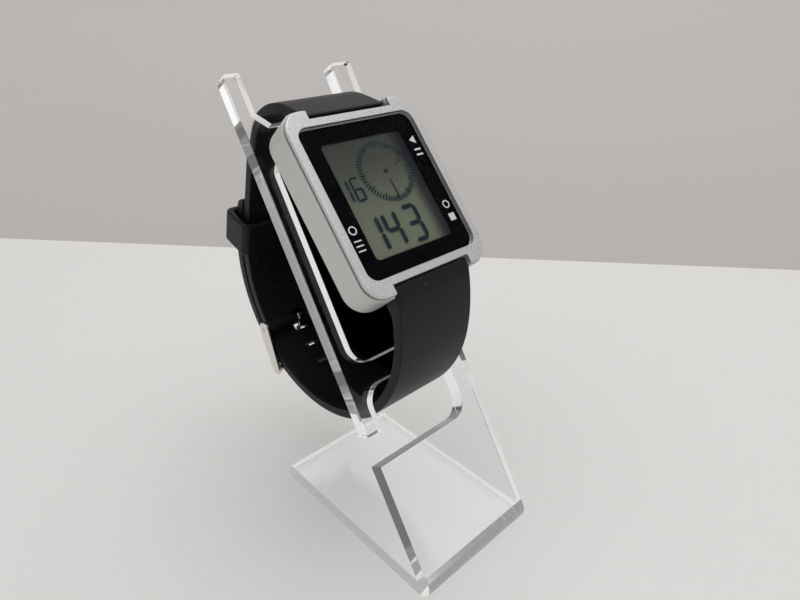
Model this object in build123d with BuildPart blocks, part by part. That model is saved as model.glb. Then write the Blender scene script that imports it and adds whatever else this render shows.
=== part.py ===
from build123d import *
from math import acos, atan2, cos, degrees, radians, sin
import os

# A digital wrist watch, buckled into a loop, hanging on a clear display stand that is bent from one
# sheet of plastic. Millimetres. +Z is up, -Y is the side that the dial faces, +X is to the right of
# someone who reads the dial. The origin is the middle of the stand's underside.

# ---- Driving dimensions: the stand ----
sheet_t = 4.0             # thickness of the sheet
base_d = 52.2             # from the inner corner to the rear edge of the base
lean = 56.9               # angle of the upright above the base
upright_h = 124.0         # from the inner corner up the slope to the tips of the prongs
tip_chamfer = 0.5         # corners of the tips and of the base
notch_rest = 1.2          # how far the strap lies over each slanted corner of the notch
notch_gap = 0.5           # strap above the corners, measured up the slope
notch_play = 1.8          # from the strap to the wall on each side of it
top_bar = 7.0             # width of the bar below the notch
window_foot = 52.4        # lower edge of the window
lower_bar_foot = 46.8     # lower edge of the bar below the window
plate_top = 29.5          # upper edge of the lower plate
left_gap_top = 36.7       # lower end of the left strip, where the loop is slipped in
left_strip = 4.3          # width of the left strip and prong
right_strip = 6.1         # width of the right strip and prong
window_corner = 4.8       # corner radius of the window and the lower slot

# ---- Driving dimensions: the watch head, in its own plane ----
head_up = 86.5            # centre of the glass, up the slope
head_out = 23.6           # centre of the glass, in front of the sheet's back face
head_tilt = 48.3          # angle of the glass above the horizontal
case_corner = 5.2         # plan radius of its corners
case_foot = 9.7           # depth of the lower shell's underside below the glass
crown_round = 0.55        # rounding of the upper shell's front edges
sole_round = 1.6          # rounding of the lower shell's underside
seam = 1.1                # depth of the seam between the shells
skirt = 2.2               # depth of the upper shell's skirt inside the lower shell
skirt_wall = 1.0
bezel_inset = 0.4         # how far the upper shell stands inside the lower one
glass_w = 31.6
glass_l = 34.8
rim_side = 2.5            # lower shell outside the glass, at the sides
rim_end = 4.4             # and at the horn tips
glass_t = 1.4
glass_corner = 2.6
glass_proud = 0.25        # glass above the upper shell
print_side = 4.5          # black print beside the clear window
print_end = 3.95          # and above and below it
lcd_side = 0.7            # display cell behind the print, at the sides
lcd_end = 1.45            # and at the ends
lcd_t = 1.55
zebra_t = 0.8             # conductive strips, and the film between them
zebra_l = 1.6             # width of a strip
zebra_in = 1.1            # its middle inside the end of the display cell
board_side = 2.6          # board inside the glass outline, at the sides
board_end = 2.4           # and at the ends
board_t = 0.8
chip_r = 3.2              # resin cover over the chip
chip_h = 1.1
chip_at = (6.7, 4.4)      # its middle, inside the board's left and upper edges
can_r = 0.75              # quartz crystal's can
can_l = 5.4
can_at = (9.7, 2.6)       # its left end, inside the board's right and upper edges
cell_r = 10.0             # coin cell
cell_t = 2.5
cell_y = -3.6
clip_t = 0.2              # sheet of the cell's leaf and strap
module_wall = 1.2         # module holder outside the board
pocket_corner = 4.0
sounder_r = 6.0
sounder_y = 7.4
spring_r = 0.8            # contact spring
spring_turns = 4.5
wire_r = 0.13
gasket_w = 0.5            # sealing ring, across
gasket_t = 0.55
gasket_out = 0.5          # from the module pocket to the ring
back_t = 1.2              # case back plate
back_edge = 1.9           # case back plate inside the lower shell's outline, at the sides
back_end = 0.6            # wall between the back's seat and a strap slot
screw_in = 1.6            # screws inside the back's edges
screw_r = 0.55
screw_head_r = 1.1
screw_l = 2.4             # thread below the head
screw_slot = 0.3
ledge = 1.1               # upper shell's ledge under the glass
print_t = 0.15            # black print
pad_t = 0.2               # touch pads
pad_w = 1.8
pad_l = 7.0

# ---- Driving dimensions: the strap ----
strap_w = 22.0
strap_t = 2.4
halves_gap = 0.8          # air between the two halves where they lie over each other
slot_play = 0.3           # strap to each horn
bar_in = 1.15             # spring bar inside the horn tips
bar_deep = 4.4            # spring bar below the glass
bar_r = 0.75
pin_r = 0.45              # ends of a spring bar
strap_start = 2.6         # slot wall inside the horn tips
lug_gap = 0.3             # strap end to the slot wall
lug_foot = 6.3            # depth of the strap ends' inner corner below the glass
pin_end = 1.0             # spring bar's pin in each horn
loop_up = 72.2            # centre of the loop, up the slope
loop_out = -7.9           # centre of the loop, in front of the sheet's back face
loop_r = 33.3             # outside of the loop
crest_up = 98.4           # centre of the bend over the notch
crest_out = 2.6
crest_r = 17.0            # outside of that bend
tail_l = 8.7              # tail of the long half past the end of the round part
buckle_at = -42.0         # angle of the buckle's bar round the loop
knuckle_r = 1.5           # end of the short half round the buckle's bar
knuckle_gap = 0.4         # knuckle to each side of the tongue
hole_w = 4.0              # adjusting slits, across the strap
hole_l = 1.1              # and along it
open_hole_l = 2.2         # the one that the tongue holds open
hole_corner = 0.5
hole_pitch = 11.8         # degrees between them round the loop
holes_up = 2              # holes on the tail side of the tongue's own hole
holes_down = 6            # and on the other side
tongue_ahead = 4.1        # degrees from the buckle's bar to the tongue's hole
keeper_l = 9.5
keeper_wall = 1.8
keeper_play = 0.6
keeper_at = -0.6          # middle of the keeper above the end of the round part
frame_l = 11.2            # from the buckle's bar to its cross bar
frame_t = 1.2             # thickness of its side plates
frame_play = 0.3          # side plates to the strap
eye_r = 2.2               # side plate round the bar
nose_r = 1.5              # and round the cross bar
cross_gap = 0.5           # cross bar above the strap
cross_r = 1.0
tongue_w = 2.6
tongue_t = 0.9

# ---- Shared clearances ----
fit = 0.1                 # between fitted pieces
run = 0.05                # round a turning bar

# ---- Worked-out places ----
corner_y = -base_d / 2
sheet = Plane(origin=(0, corner_y, sheet_t), x_dir=(1, 0, 0),
              z_dir=(0, -sin(radians(lean)), cos(radians(lean))))
stand_w = left_strip + strap_w + 2 * notch_play + right_strip
left_wall = -stand_w / 2 + left_strip
right_wall = stand_w / 2 - right_strip
watch_x = (left_wall + right_wall) / 2


def side(up, out):
    """A place in the side view, from its height up the slope and its distance in front of the sheet."""
    spot = sheet.from_local_coords(Vector(0, up, out))
    return Vector(spot.Y, spot.Z)


def around(centre, radius, angle):
    """A place in the side view, by radius and angle from a centre."""
    return centre + Vector(radius * cos(radians(angle)), radius * sin(radians(angle)))


head_yz = side(head_up, head_out)
head = Plane(origin=(watch_x, head_yz.X, head_yz.Y), x_dir=(1, 0, 0),
             z_dir=(0, -sin(radians(head_tilt)), cos(radians(head_tilt))))
side_plane = Plane.YZ.offset(watch_x)
loop_c = side(loop_up, loop_out)
crest_c = side(crest_up, crest_out)


def on_head(along, deep):
    """A place in the side view, from its distance toward twelve o'clock and its depth below the glass."""
    spot = head.from_local_coords(Vector(0, along, -deep))
    return Vector(spot.Y, spot.Z)


long_out = loop_r
long_in = long_out - strap_t
short_out = long_in - halves_gap
short_in = short_out - strap_t
crest_in = crest_r - strap_t
notch_floor = crest_up + crest_in - notch_rest - notch_gap
floor_half = strap_w / 2 - notch_rest
pivot_r = short_out - knuckle_r

# Angle at which a straight run touches both the crest and the round part of the loop.
span = loop_c - crest_c
meet = degrees(atan2(span.Y, span.X)) + degrees(acos((crest_r - short_out) / span.length))

case_w = glass_w + 2 * rim_side
case_l = glass_l + 2 * rim_end
view_w = glass_w - 2 * print_side
view_l = glass_l - 2 * print_end
lcd_w = view_w + 2 * lcd_side
lcd_l = view_l + 2 * lcd_end
board_w = glass_w - 2 * board_side
board_l = glass_l - 2 * board_end
slot_w = strap_w + 2 * slot_play
horn_wall = case_l / 2 - strap_start
bar_at = case_l / 2 - bar_in
bezel_w = case_w - 2 * bezel_inset
bezel_l = case_l - 2 * bezel_inset
shell_corner = min(case_corner, (case_w - slot_w) / 2 - bezel_inset - crown_round)
bezel_corner = shell_corner - bezel_inset
skirt_w = glass_w + 2 * (fit + skirt_wall)
skirt_l = glass_l + 2 * (fit + skirt_wall)
module_w = board_w + 2 * module_wall + 2 * fit
module_l = board_l + 2 * module_wall + 2 * fit
pocket_w = module_w + 4 * fit
pocket_l = module_l + 4 * fit
back_w = case_w - 2 * back_edge
back_l = 2 * (horn_wall - back_end)
back_top = case_foot + 0.2 - back_t
print_foot = glass_t + print_t
pad_foot = print_foot + pad_t
lcd_foot = pad_foot + lcd_t
board_top = lcd_foot + zebra_t
board_foot = board_top + board_t
cell_top = board_foot + 0.5
cell_foot = cell_top + cell_t
module_foot = cell_foot + clip_t
screw_x = back_w / 2 - screw_in
screw_y = back_l / 2 - screw_in

os.makedirs("parts", exist_ok=True)


def save(part, label):
    part.label = label
    export_step(part, "parts/" + label + ".step")


# ---- Stand: base, round bend and leaning upright in one piece ----
with BuildPart() as stand:
    # Side view: the base, the bend round the inner corner and the upright.
    with BuildSketch(Plane.YZ) as stand_side:
        with BuildLine():
            rear_foot = (base_d / 2, 0)
            rear_top = (base_d / 2, sheet_t)
            inner = side(0, 0)
            bend = CenterArc(inner, sheet_t, -90, lean - 180)
            back_tip = side(upright_h, 0)
            front_tip = side(upright_h, sheet_t)
            Polyline(bend @ 0, rear_foot, rear_top, inner, back_tip, front_tip, bend @ 1)
        make_face()
    extrude(amount=stand_w / 2, both=True)
    # Notch between the prongs, where the strap hangs over the top bar.
    with BuildSketch(sheet) as notch:
        with BuildLine():
            slant = notch_floor + notch_rest + notch_play
            Polyline((left_wall, upright_h + 1), (left_wall, slant), (watch_x - floor_half, notch_floor),
                     (watch_x + floor_half, notch_floor), (right_wall, slant),
                     (right_wall, upright_h + 1), close=True)
        make_face()
    extrude(amount=sheet_t, mode=Mode.SUBTRACT)
    # Window between the two bars.
    window_top = notch_floor - top_bar
    with BuildSketch(sheet) as window:
        with BuildLine():
            Polyline((left_wall, window_foot), (right_wall, window_foot), (right_wall, window_top),
                     (left_wall, window_top), close=True)
        make_face()
        fillet(window.vertices(), window_corner)
    extrude(amount=sheet_t, mode=Mode.SUBTRACT)
    # Lower slot, open at the left edge below the left strip, where a closed strap is slipped in.
    with BuildSketch(sheet) as slot:
        with BuildLine():
            Polyline((-stand_w / 2 - 1, plate_top), (right_wall, plate_top), (right_wall, lower_bar_foot),
                     (left_wall, lower_bar_foot), (left_wall, left_gap_top),
                     (-stand_w / 2 - 1, left_gap_top), close=True)
        make_face()
        fillet(slot.vertices().group_by(Axis.X)[-1], window_corner)
        fillet(slot.vertices().sort_by(Axis.Y)[-1], window_corner)
    extrude(amount=sheet_t, mode=Mode.SUBTRACT)
    # Blunted corners of the prong tips and of the base.
    tips = stand.edges().filter_by(lambda edge: edge.center().Z > sheet_t * 2)
    chamfer(tips.filter_by(Axis((0, 0, 0), sheet.z_dir)).group_by(Axis.Z)[-1], tip_chamfer)
    chamfer(stand.edges().filter_by(Axis.Z).group_by(Axis.Y)[-1], tip_chamfer / 2)
save(stand.part, "stand")


# ---- Upper shell: grainy metal frame round the glass, with four horns ----
with BuildPart() as bezel:
    with BuildSketch(head.offset(-seam)) as bezel_plan:
        RectangleRounded(bezel_w, bezel_l, bezel_corner)
        with Locations((0, horn_wall + strap_start / 2), (0, -horn_wall - strap_start / 2)):
            Rectangle(slot_w, strap_start, mode=Mode.SUBTRACT)
    extrude(amount=seam - glass_proud)
    crown = bezel.faces().filter_by(head).group_by(Axis(head.origin, head.z_dir))[-1]
    fillet(crown.edges(), crown_round)
    with BuildSketch(head.offset(-skirt)) as bezel_skirt:
        RectangleRounded(skirt_w, skirt_l, glass_corner + skirt_wall)
    extrude(amount=skirt - seam)
    with BuildSketch(head.offset(-print_foot)) as glass_seat:
        RectangleRounded(glass_w + 2 * fit, glass_l + 2 * fit, glass_corner)
    extrude(amount=print_foot, mode=Mode.SUBTRACT)
    with BuildSketch(head.offset(-skirt)) as bezel_bore:
        RectangleRounded(glass_w - 2 * ledge, glass_l - 2 * ledge, glass_corner)
    extrude(amount=skirt, mode=Mode.SUBTRACT)
save(bezel.part, "bezel")


# ---- Lower shell: deep smooth body with the strap slots, the module pocket and the back's seat ----
with BuildPart() as case_body:
    with BuildSketch(head.offset(-case_foot)) as case_plan:
        RectangleRounded(case_w, case_l, shell_corner)
    extrude(amount=case_foot - seam)
    sole = case_body.faces().filter_by(head).group_by(Axis(head.origin, head.z_dir))[0]
    fillet(sole.edges(), sole_round)
    with BuildSketch(head.offset(-case_foot)) as strap_slots:
        with Locations((0, horn_wall + strap_start), (0, -horn_wall - strap_start)):
            Rectangle(slot_w, strap_start * 2)
        RectangleRounded(pocket_w, pocket_l, pocket_corner)
    extrude(amount=case_foot, mode=Mode.SUBTRACT)
    with BuildSketch(head.offset(-skirt)) as skirt_seat:
        RectangleRounded(skirt_w + 2 * run, skirt_l + 2 * run, glass_corner + skirt_wall)
    extrude(amount=skirt, mode=Mode.SUBTRACT)
    with BuildSketch(head.offset(-case_foot)) as back_seat:
        RectangleRounded(back_w + 2 * fit, back_l + 2 * fit, pocket_corner / 2)
    extrude(amount=case_foot - back_top, mode=Mode.SUBTRACT)
    with BuildSketch(head.offset(-back_top)) as gasket_groove:
        groove_out = gasket_out + gasket_w + fit
        groove_in = gasket_out - fit
        RectangleRounded(pocket_w + 2 * groove_out, pocket_l + 2 * groove_out, pocket_corner + 1.6)
        RectangleRounded(pocket_w + 2 * groove_in, pocket_l + 2 * groove_in, pocket_corner + 0.9,
                         mode=Mode.SUBTRACT)
    extrude(amount=gasket_t + run, mode=Mode.SUBTRACT)
    with BuildSketch(head.offset(-back_top)) as screw_holes:
        with GridLocations(2 * screw_x, 2 * screw_y, 2, 2):
            Circle(screw_r + run)
    extrude(amount=screw_l + 2 * fit, mode=Mode.SUBTRACT)
    # Blind holes in the horns for the ends of the two spring bars.
    for end in (1, -1):
        bar_spot = on_head(end * bar_at, bar_deep)
        with BuildSketch(side_plane):
            with Locations(bar_spot):
                Circle(pin_r + run)
        extrude(amount=slot_w / 2 + pin_end + 2 * fit, both=True, mode=Mode.SUBTRACT)
save(case_body.part, "case_body")


def plate(label, width, length, corner, top, foot, at=(0, 0)):
    """A flat piece of the head between two depths below the glass."""
    with BuildPart() as piece:
        with BuildSketch(head.offset(-foot)):
            with Locations(at):
                RectangleRounded(width, length, corner)
        extrude(amount=foot - top)
    save(piece.part, label)


# ---- Glass and what lies behind it ----
with BuildPart() as lens:
    with BuildSketch(head.offset(-glass_t)):
        RectangleRounded(glass_w, glass_l, glass_corner)
    extrude(amount=glass_t)
    rim = lens.faces().filter_by(head).group_by(Axis(head.origin, head.z_dir))[-1]
    chamfer(rim.edges(), 0.3)
save(lens.part, "lens")

with BuildPart() as mask:
    with BuildSketch(head.offset(-print_foot)):
        RectangleRounded(glass_w - 2 * fit, glass_l - 2 * fit, glass_corner)
        RectangleRounded(view_w, view_l, 1.0, mode=Mode.SUBTRACT)
    extrude(amount=print_t)
save(mask.part, "mask")

pad_x = (view_w / 2 + glass_w / 2 - ledge) / 2 + pad_w / 6
with BuildPart() as touch_pads:
    with BuildSketch(head.offset(-pad_foot)):
        with Locations((-pad_x, -9.5), (pad_x, 9.5), (pad_x, -7.0)):
            RectangleRounded(pad_w, pad_l, pad_w / 3)
    extrude(amount=pad_t)
save(touch_pads.part, "touch_pads")

plate("lcd_panel", lcd_w, lcd_l, 0.6, pad_foot, lcd_foot)
reflector_l = lcd_l - 2 * zebra_in - zebra_l - 12 * fit
plate("reflector", lcd_w, reflector_l, 0.4, lcd_foot, board_top)

with BuildPart() as zebra_strips:
    with BuildSketch(head.offset(-board_top)):
        with Locations((0, lcd_l / 2 - zebra_in), (0, zebra_in - lcd_l / 2)):
            Rectangle(lcd_w - 2.0, zebra_l)
    extrude(amount=board_top - lcd_foot)
save(zebra_strips.part, "zebra_strips")

# ---- Module holder: plastic ring round the panel, the board and the cell ----
with BuildPart() as module_holder:
    with BuildSketch(head.offset(-module_foot)):
        RectangleRounded(module_w, module_l, pocket_corner - 2 * fit)
    extrude(amount=module_foot - pad_foot - fit)
    with BuildSketch(head.offset(-board_top)):
        RectangleRounded(lcd_w + 2 * fit, lcd_l + 2 * fit, 0.7)
    extrude(amount=board_top, mode=Mode.SUBTRACT)
    with BuildSketch(head.offset(-module_foot)):
        RectangleRounded(board_w + 2 * fit, board_l + 2 * fit, 1.6)
    extrude(amount=module_foot - board_top, mode=Mode.SUBTRACT)
save(module_holder.part, "module_holder")

plate("circuit_board", board_w, board_l, 1.5, board_top, board_foot)

with BuildPart() as chip_cover:
    with BuildSketch(head.offset(-board_foot)):
        with Locations((chip_at[0] - board_w / 2, board_l / 2 - chip_at[1])):
            Circle(chip_r)
    extrude(amount=-chip_h)
    dome = chip_cover.faces().filter_by(head).group_by(Axis(head.origin, head.z_dir))[0]
    fillet(dome.edges(), chip_h - 2 * fit)
save(chip_cover.part, "chip_cover")

can_spot = head.from_local_coords(Vector(board_w / 2 - can_at[0], board_l / 2 - can_at[1],
                                         -board_foot - can_r))
with BuildPart() as quartz_crystal:
    with BuildSketch(Plane(can_spot, x_dir=head.y_dir, z_dir=head.x_dir)):
        Circle(can_r)
    extrude(amount=can_l)
save(quartz_crystal.part, "quartz_crystal")

with BuildPart() as coin_cell:
    with BuildSketch(head.offset(-cell_foot)):
        with Locations((0, cell_y)):
            Circle(cell_r)
    extrude(amount=cell_t)
    chamfer(coin_cell.edges().filter_by(GeomType.CIRCLE), 0.2)
save(coin_cell.part, "coin_cell")

# Leaf that touches the cell's upper side, and strap that holds the cell from below.
leaf_plane = Plane(head.from_local_coords(Vector(0, cell_y, 0)), x_dir=head.x_dir, z_dir=-head.y_dir)
with BuildPart() as cell_leaf:
    with BuildSketch(leaf_plane):
        with BuildLine():
            Polyline((-5, -board_foot), (-3, -board_foot), (0, -cell_top + clip_t), (3, -board_foot),
                     (5, -board_foot), (5, -board_foot - clip_t), (3, -board_foot - clip_t),
                     (0, -cell_top), (-3, -board_foot - clip_t), (-5, -board_foot - clip_t), close=True)
        make_face()
    extrude(amount=2, both=True)
save(cell_leaf.part, "cell_leaf")

with BuildPart() as cell_strap:
    with BuildSketch(leaf_plane):
        with Locations((0, -(board_foot + module_foot) / 2)):
            Rectangle(board_w - 0.6, module_foot - board_foot)
            with Locations((0, clip_t)):
                Rectangle(board_w - 0.6 - 2 * clip_t, module_foot - board_foot, mode=Mode.SUBTRACT)
    extrude(amount=3, both=True)
save(cell_strap.part, "cell_strap")

# ---- Sounder on the case back, and the spring that feeds it ----
with BuildPart() as sounder:
    with BuildSketch(head.offset(-back_top)):
        with Locations((0, sounder_y)):
            Circle(sounder_r)
    extrude(amount=back_top - module_foot - fit)
save(sounder.part, "sounder")

spring_h = module_foot + fit - board_foot
spring_spot = head.from_local_coords(Vector(0.6, 10.4, 0.15 - board_foot - spring_h))
with BuildPart() as contact_spring:
    with BuildLine() as coil:
        Helix(pitch=spring_h / spring_turns, height=spring_h - 0.3, radius=spring_r,
              center=spring_spot, direction=head.z_dir)
    with BuildSketch(Plane(coil.line @ 0, z_dir=coil.line % 0)):
        Circle(wire_r)
    sweep(path=coil.line)
save(contact_spring.part, "contact_spring")

with BuildPart() as gasket:
    with BuildSketch(head.offset(-back_top)):
        ring_out = gasket_out + gasket_w
        RectangleRounded(pocket_w + 2 * ring_out, pocket_l + 2 * ring_out, pocket_corner + 1.5)
        RectangleRounded(pocket_w + 2 * gasket_out, pocket_l + 2 * gasket_out, pocket_corner + 1.0,
                         mode=Mode.SUBTRACT)
    extrude(amount=gasket_t)
save(gasket.part, "gasket")

with BuildPart() as case_back:
    with BuildSketch(head.offset(-back_top)):
        RectangleRounded(back_w, back_l, pocket_corner / 2 - fit)
    extrude(amount=-back_t)
    with BuildSketch(head.offset(-back_top)):
        with GridLocations(2 * screw_x, 2 * screw_y, 2, 2):
            Circle(screw_r + run)
    extrude(amount=-back_t, mode=Mode.SUBTRACT)
    with BuildSketch(head.offset(-back_top - back_t)):
        with GridLocations(2 * screw_x, 2 * screw_y, 2, 2):
            Circle(screw_head_r + run)
    extrude(amount=back_t / 2, mode=Mode.SUBTRACT)
save(case_back.part, "case_back")

with BuildPart() as back_screws:
    with BuildSketch(head.offset(-back_top - back_t / 2)):
        with GridLocations(2 * screw_x, 2 * screw_y, 2, 2):
            Circle(screw_r)
    extrude(amount=back_t / 2 + screw_l)
    with BuildSketch(head.offset(-back_top - back_t / 2)):
        with GridLocations(2 * screw_x, 2 * screw_y, 2, 2):
            Circle(screw_head_r)
    extrude(amount=-back_t / 2)
    with BuildSketch(head.offset(-back_top - back_t)):
        with GridLocations(2 * screw_x, 2 * screw_y, 2, 2):
            Rectangle(screw_head_r * 2, screw_slot)
    extrude(amount=screw_slot, mode=Mode.SUBTRACT)
save(back_screws.part, "back_screws")


def spring_bar(label, spot, body_l, pin_l, body_r):
    """A bar across the strap: a thick middle with a thin pin at each end."""
    with BuildPart() as bar:
        with BuildSketch(side_plane):
            with Locations(spot):
                Circle(body_r)
        extrude(amount=body_l / 2, both=True)
        with BuildSketch(side_plane):
            with Locations(spot):
                Circle(pin_r)
        extrude(amount=pin_l / 2, both=True)
    save(bar.part, label)


bar_12 = on_head(bar_at, bar_deep)
bar_6 = on_head(-bar_at, bar_deep)
spring_bar("spring_bar_12", bar_12, strap_w, slot_w + 2 * pin_end, bar_r)
spring_bar("spring_bar_6", bar_6, strap_w, slot_w + 2 * pin_end, bar_r)

# ---- Short half of the strap: from twelve o'clock over the notch and down the back ----
lug_face = horn_wall + lug_gap
with BuildPart() as strap_12:
    with BuildSketch(side_plane) as short_side:
        with BuildLine():
            facet = Line(on_head(lug_face, 1.6), on_head(lug_face + 1.6, 1.9))
            crest_outer = CenterArc(crest_c, crest_r, 95, meet - 95)
            Line(facet @ 1, crest_outer @ 0)
            back_outer = CenterArc(loop_c, short_out, meet, buckle_at - meet)
            Line(crest_outer @ 1, back_outer @ 0)
            back_inner = CenterArc(loop_c, short_in, buckle_at, meet - buckle_at)
            Line(back_outer @ 1, back_inner @ 0)
            crest_inner = CenterArc(crest_c, crest_in, meet, 110 - meet)
            Line(back_inner @ 1, crest_inner @ 0)
            heel = Line(crest_inner @ 1, on_head(lug_face, lug_foot))
            Line(heel @ 1, facet @ 0)
        make_face()
        with Locations(around(loop_c, pivot_r, buckle_at)):
            Circle(knuckle_r)
    extrude(amount=strap_w / 2, both=True)
    with BuildSketch(side_plane):
        with Locations(bar_12):
            Circle(bar_r + run)
        with Locations(around(loop_c, pivot_r, buckle_at)):
            Circle(bar_r + run)
    extrude(amount=strap_w / 2, both=True, mode=Mode.SUBTRACT)
    # Gap in the knuckle for the tongue.
    with BuildSketch(side_plane):
        with Locations(around(loop_c, pivot_r, buckle_at)):
            Circle(knuckle_r + tongue_t)
    extrude(amount=tongue_w / 2 + knuckle_gap, both=True, mode=Mode.SUBTRACT)
save(strap_12.part, "strap_12")

# ---- Long half: from six o'clock through the lower slot, under the buckle, up to the tail ----
tail_run = Vector(-sin(radians(meet)), cos(radians(meet))) * tail_l
with BuildPart() as strap_6:
    with BuildSketch(side_plane) as long_side:
        with BuildLine():
            facet = Line(on_head(-lug_face, 1.2), on_head(-lug_face - 2.6, 1.5))
            long_outer = CenterArc(loop_c, long_out, meet, -174 - meet)
            TangentArc(long_outer @ 1, facet @ 1, tangent=long_outer % 1)
            tail_tip = (long_outer @ 0) + tail_run
            tail_out = Line(long_outer @ 0, tail_tip - tail_run.normalized() * strap_t)
            long_inner = CenterArc(loop_c, long_in, meet, -192 - meet)
            tail_in = Line(long_inner @ 0, (long_inner @ 0) + tail_run)
            RadiusArc(tail_in @ 1, tail_out @ 1, strap_t)
            heel = Line(long_inner @ 1, on_head(-lug_face, lug_foot))
            Line(heel @ 1, facet @ 0)
        make_face()
    extrude(amount=strap_w / 2, both=True)
    with BuildSketch(side_plane):
        with Locations(bar_6):
            Circle(bar_r + run)
    extrude(amount=strap_w / 2, both=True, mode=Mode.SUBTRACT)
    # Adjusting slits, one of them round the tongue.
    for step in range(-holes_down, holes_up + 1):
        angle = buckle_at - tongue_ahead + step * hole_pitch
        spot = around(loop_c, long_in - 1, angle)
        outward = (0, cos(radians(angle)), sin(radians(angle)))
        with BuildSketch(Plane((watch_x, spot.X, spot.Y), x_dir=(1, 0, 0), z_dir=outward)):
            RectangleRounded(hole_w, open_hole_l if step == 0 else hole_l, hole_corner)
        extrude(amount=strap_t + 2, mode=Mode.SUBTRACT)
save(strap_6.part, "strap_6")

# ---- Buckle: side plates, cross bar, bar and tongue ----
pivot = around(loop_c, pivot_r, buckle_at)
ahead = Vector(sin(radians(buckle_at)), -cos(radians(buckle_at)))
outward = Vector(cos(radians(buckle_at)), sin(radians(buckle_at)))
long_at_cross = (long_out ** 2 - frame_l ** 2) ** 0.5 - pivot_r
cross_out = long_at_cross + cross_r + cross_gap
cross = pivot + ahead * frame_l + outward * cross_out
plate_x = strap_w / 2 + frame_play
with BuildPart() as buckle_frame:
    for way in (1, -1):
        with BuildSketch(side_plane.offset(way * plate_x)):
            with Locations(pivot):
                Circle(eye_r)
            with Locations(cross):
                Circle(nose_r)
            make_hull()
            with Locations(pivot):
                Circle(pin_r + run, mode=Mode.SUBTRACT)
        extrude(amount=way * frame_t)
    with BuildSketch(side_plane):
        with Locations(cross):
            Circle(cross_r)
    extrude(amount=plate_x + frame_t / 2, both=True)
save(buckle_frame.part, "buckle_frame")

spring_bar("buckle_bar", pivot, 2 * plate_x - 2 * fit, 2 * (plate_x + frame_t) - 2 * fit, bar_r)

tongue_out = cross_out + cross_r + fit
shank_at = 2.1


def by_pivot(along, out):
    """A place in the side view, from its distance ahead of the buckle's bar and outside it."""
    return pivot + ahead * along + outward * out


with BuildPart() as buckle_tongue:
    with BuildSketch(side_plane):
        with Locations(pivot):
            Circle(knuckle_r)
        with BuildLine():
            Polyline(by_pivot(0, -0.6), by_pivot(shank_at, 0.2), by_pivot(shank_at + tongue_t, 0.9),
                     by_pivot(shank_at + tongue_t, tongue_out), by_pivot(frame_l + 2.3, tongue_out),
                     by_pivot(frame_l + 1.8, tongue_out + tongue_t),
                     by_pivot(shank_at + 0.7, tongue_out + tongue_t), by_pivot(shank_at, tongue_out + 0.3),
                     by_pivot(shank_at, 1.3), by_pivot(0.3, 1.2), close=True)
        make_face()
        with Locations(pivot):
            Circle(bar_r + run, mode=Mode.SUBTRACT)
    extrude(amount=tongue_w / 2, both=True)
save(buckle_tongue.part, "buckle_tongue")

# ---- Keeper: loop that holds the tail against the short half ----
rise = Vector(-sin(radians(meet)), cos(radians(meet)))
keeper_c = around(loop_c, (long_out + short_in) / 2, meet) + rise * keeper_at
with BuildPart() as keeper:
    with BuildSketch(Plane((watch_x, keeper_c.X, keeper_c.Y), x_dir=(1, 0, 0), z_dir=(0, rise.X, rise.Y))):
        inner_w = strap_w + 2 * keeper_play
        inner_t = long_out - short_in + 2 * keeper_play
        RectangleRounded(inner_w + 2 * keeper_wall, inner_t + 2 * keeper_wall, keeper_wall)
        RectangleRounded(inner_w, inner_t, 0.3, mode=Mode.SUBTRACT)
    extrude(amount=keeper_l / 2, both=True)
save(keeper.part, "keeper")
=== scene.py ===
from math import cos, pi, radians, sin

import bpy
from mathutils import Matrix, Vector


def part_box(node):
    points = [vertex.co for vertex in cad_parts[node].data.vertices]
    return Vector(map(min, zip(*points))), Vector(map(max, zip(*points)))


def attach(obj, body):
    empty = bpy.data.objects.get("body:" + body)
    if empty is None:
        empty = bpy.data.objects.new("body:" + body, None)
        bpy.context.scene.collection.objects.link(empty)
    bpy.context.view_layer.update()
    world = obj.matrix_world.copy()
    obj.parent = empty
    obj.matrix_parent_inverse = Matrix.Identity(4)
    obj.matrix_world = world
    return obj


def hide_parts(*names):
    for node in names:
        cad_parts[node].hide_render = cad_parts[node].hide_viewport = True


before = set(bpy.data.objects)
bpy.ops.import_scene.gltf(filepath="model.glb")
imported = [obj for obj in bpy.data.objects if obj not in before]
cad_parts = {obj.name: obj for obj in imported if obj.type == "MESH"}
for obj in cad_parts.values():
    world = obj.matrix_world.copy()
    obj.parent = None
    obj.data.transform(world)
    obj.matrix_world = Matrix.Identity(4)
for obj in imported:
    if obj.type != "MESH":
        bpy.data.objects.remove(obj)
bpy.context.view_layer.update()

bpy.ops.object.select_all(action="DESELECT")

# ---- Camera ----
# A hand-held view from the left of the dial, a little above it, looking down past the watch at the
# stand's base. The camera leans by half a degree.
eye = Vector((-0.08704, -0.09211, 0.13081))
aim = Vector((0.01586, 0.01642, 0.04998))
camera_lean = radians(0.5)
bpy.ops.object.camera_add(location=eye)
camera = bpy.context.object
gaze = (aim - eye).to_track_quat("-Z", "Y").to_matrix()
camera.rotation_euler = (gaze @ Matrix.Rotation(camera_lean, 3, "Z")).to_euler()
camera.data.sensor_width = 36.0
camera.data.lens = 27.6
camera.data.clip_start = 0.001
bpy.context.scene.camera = camera
bpy.context.scene.view_settings.view_transform = "Standard"


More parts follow.
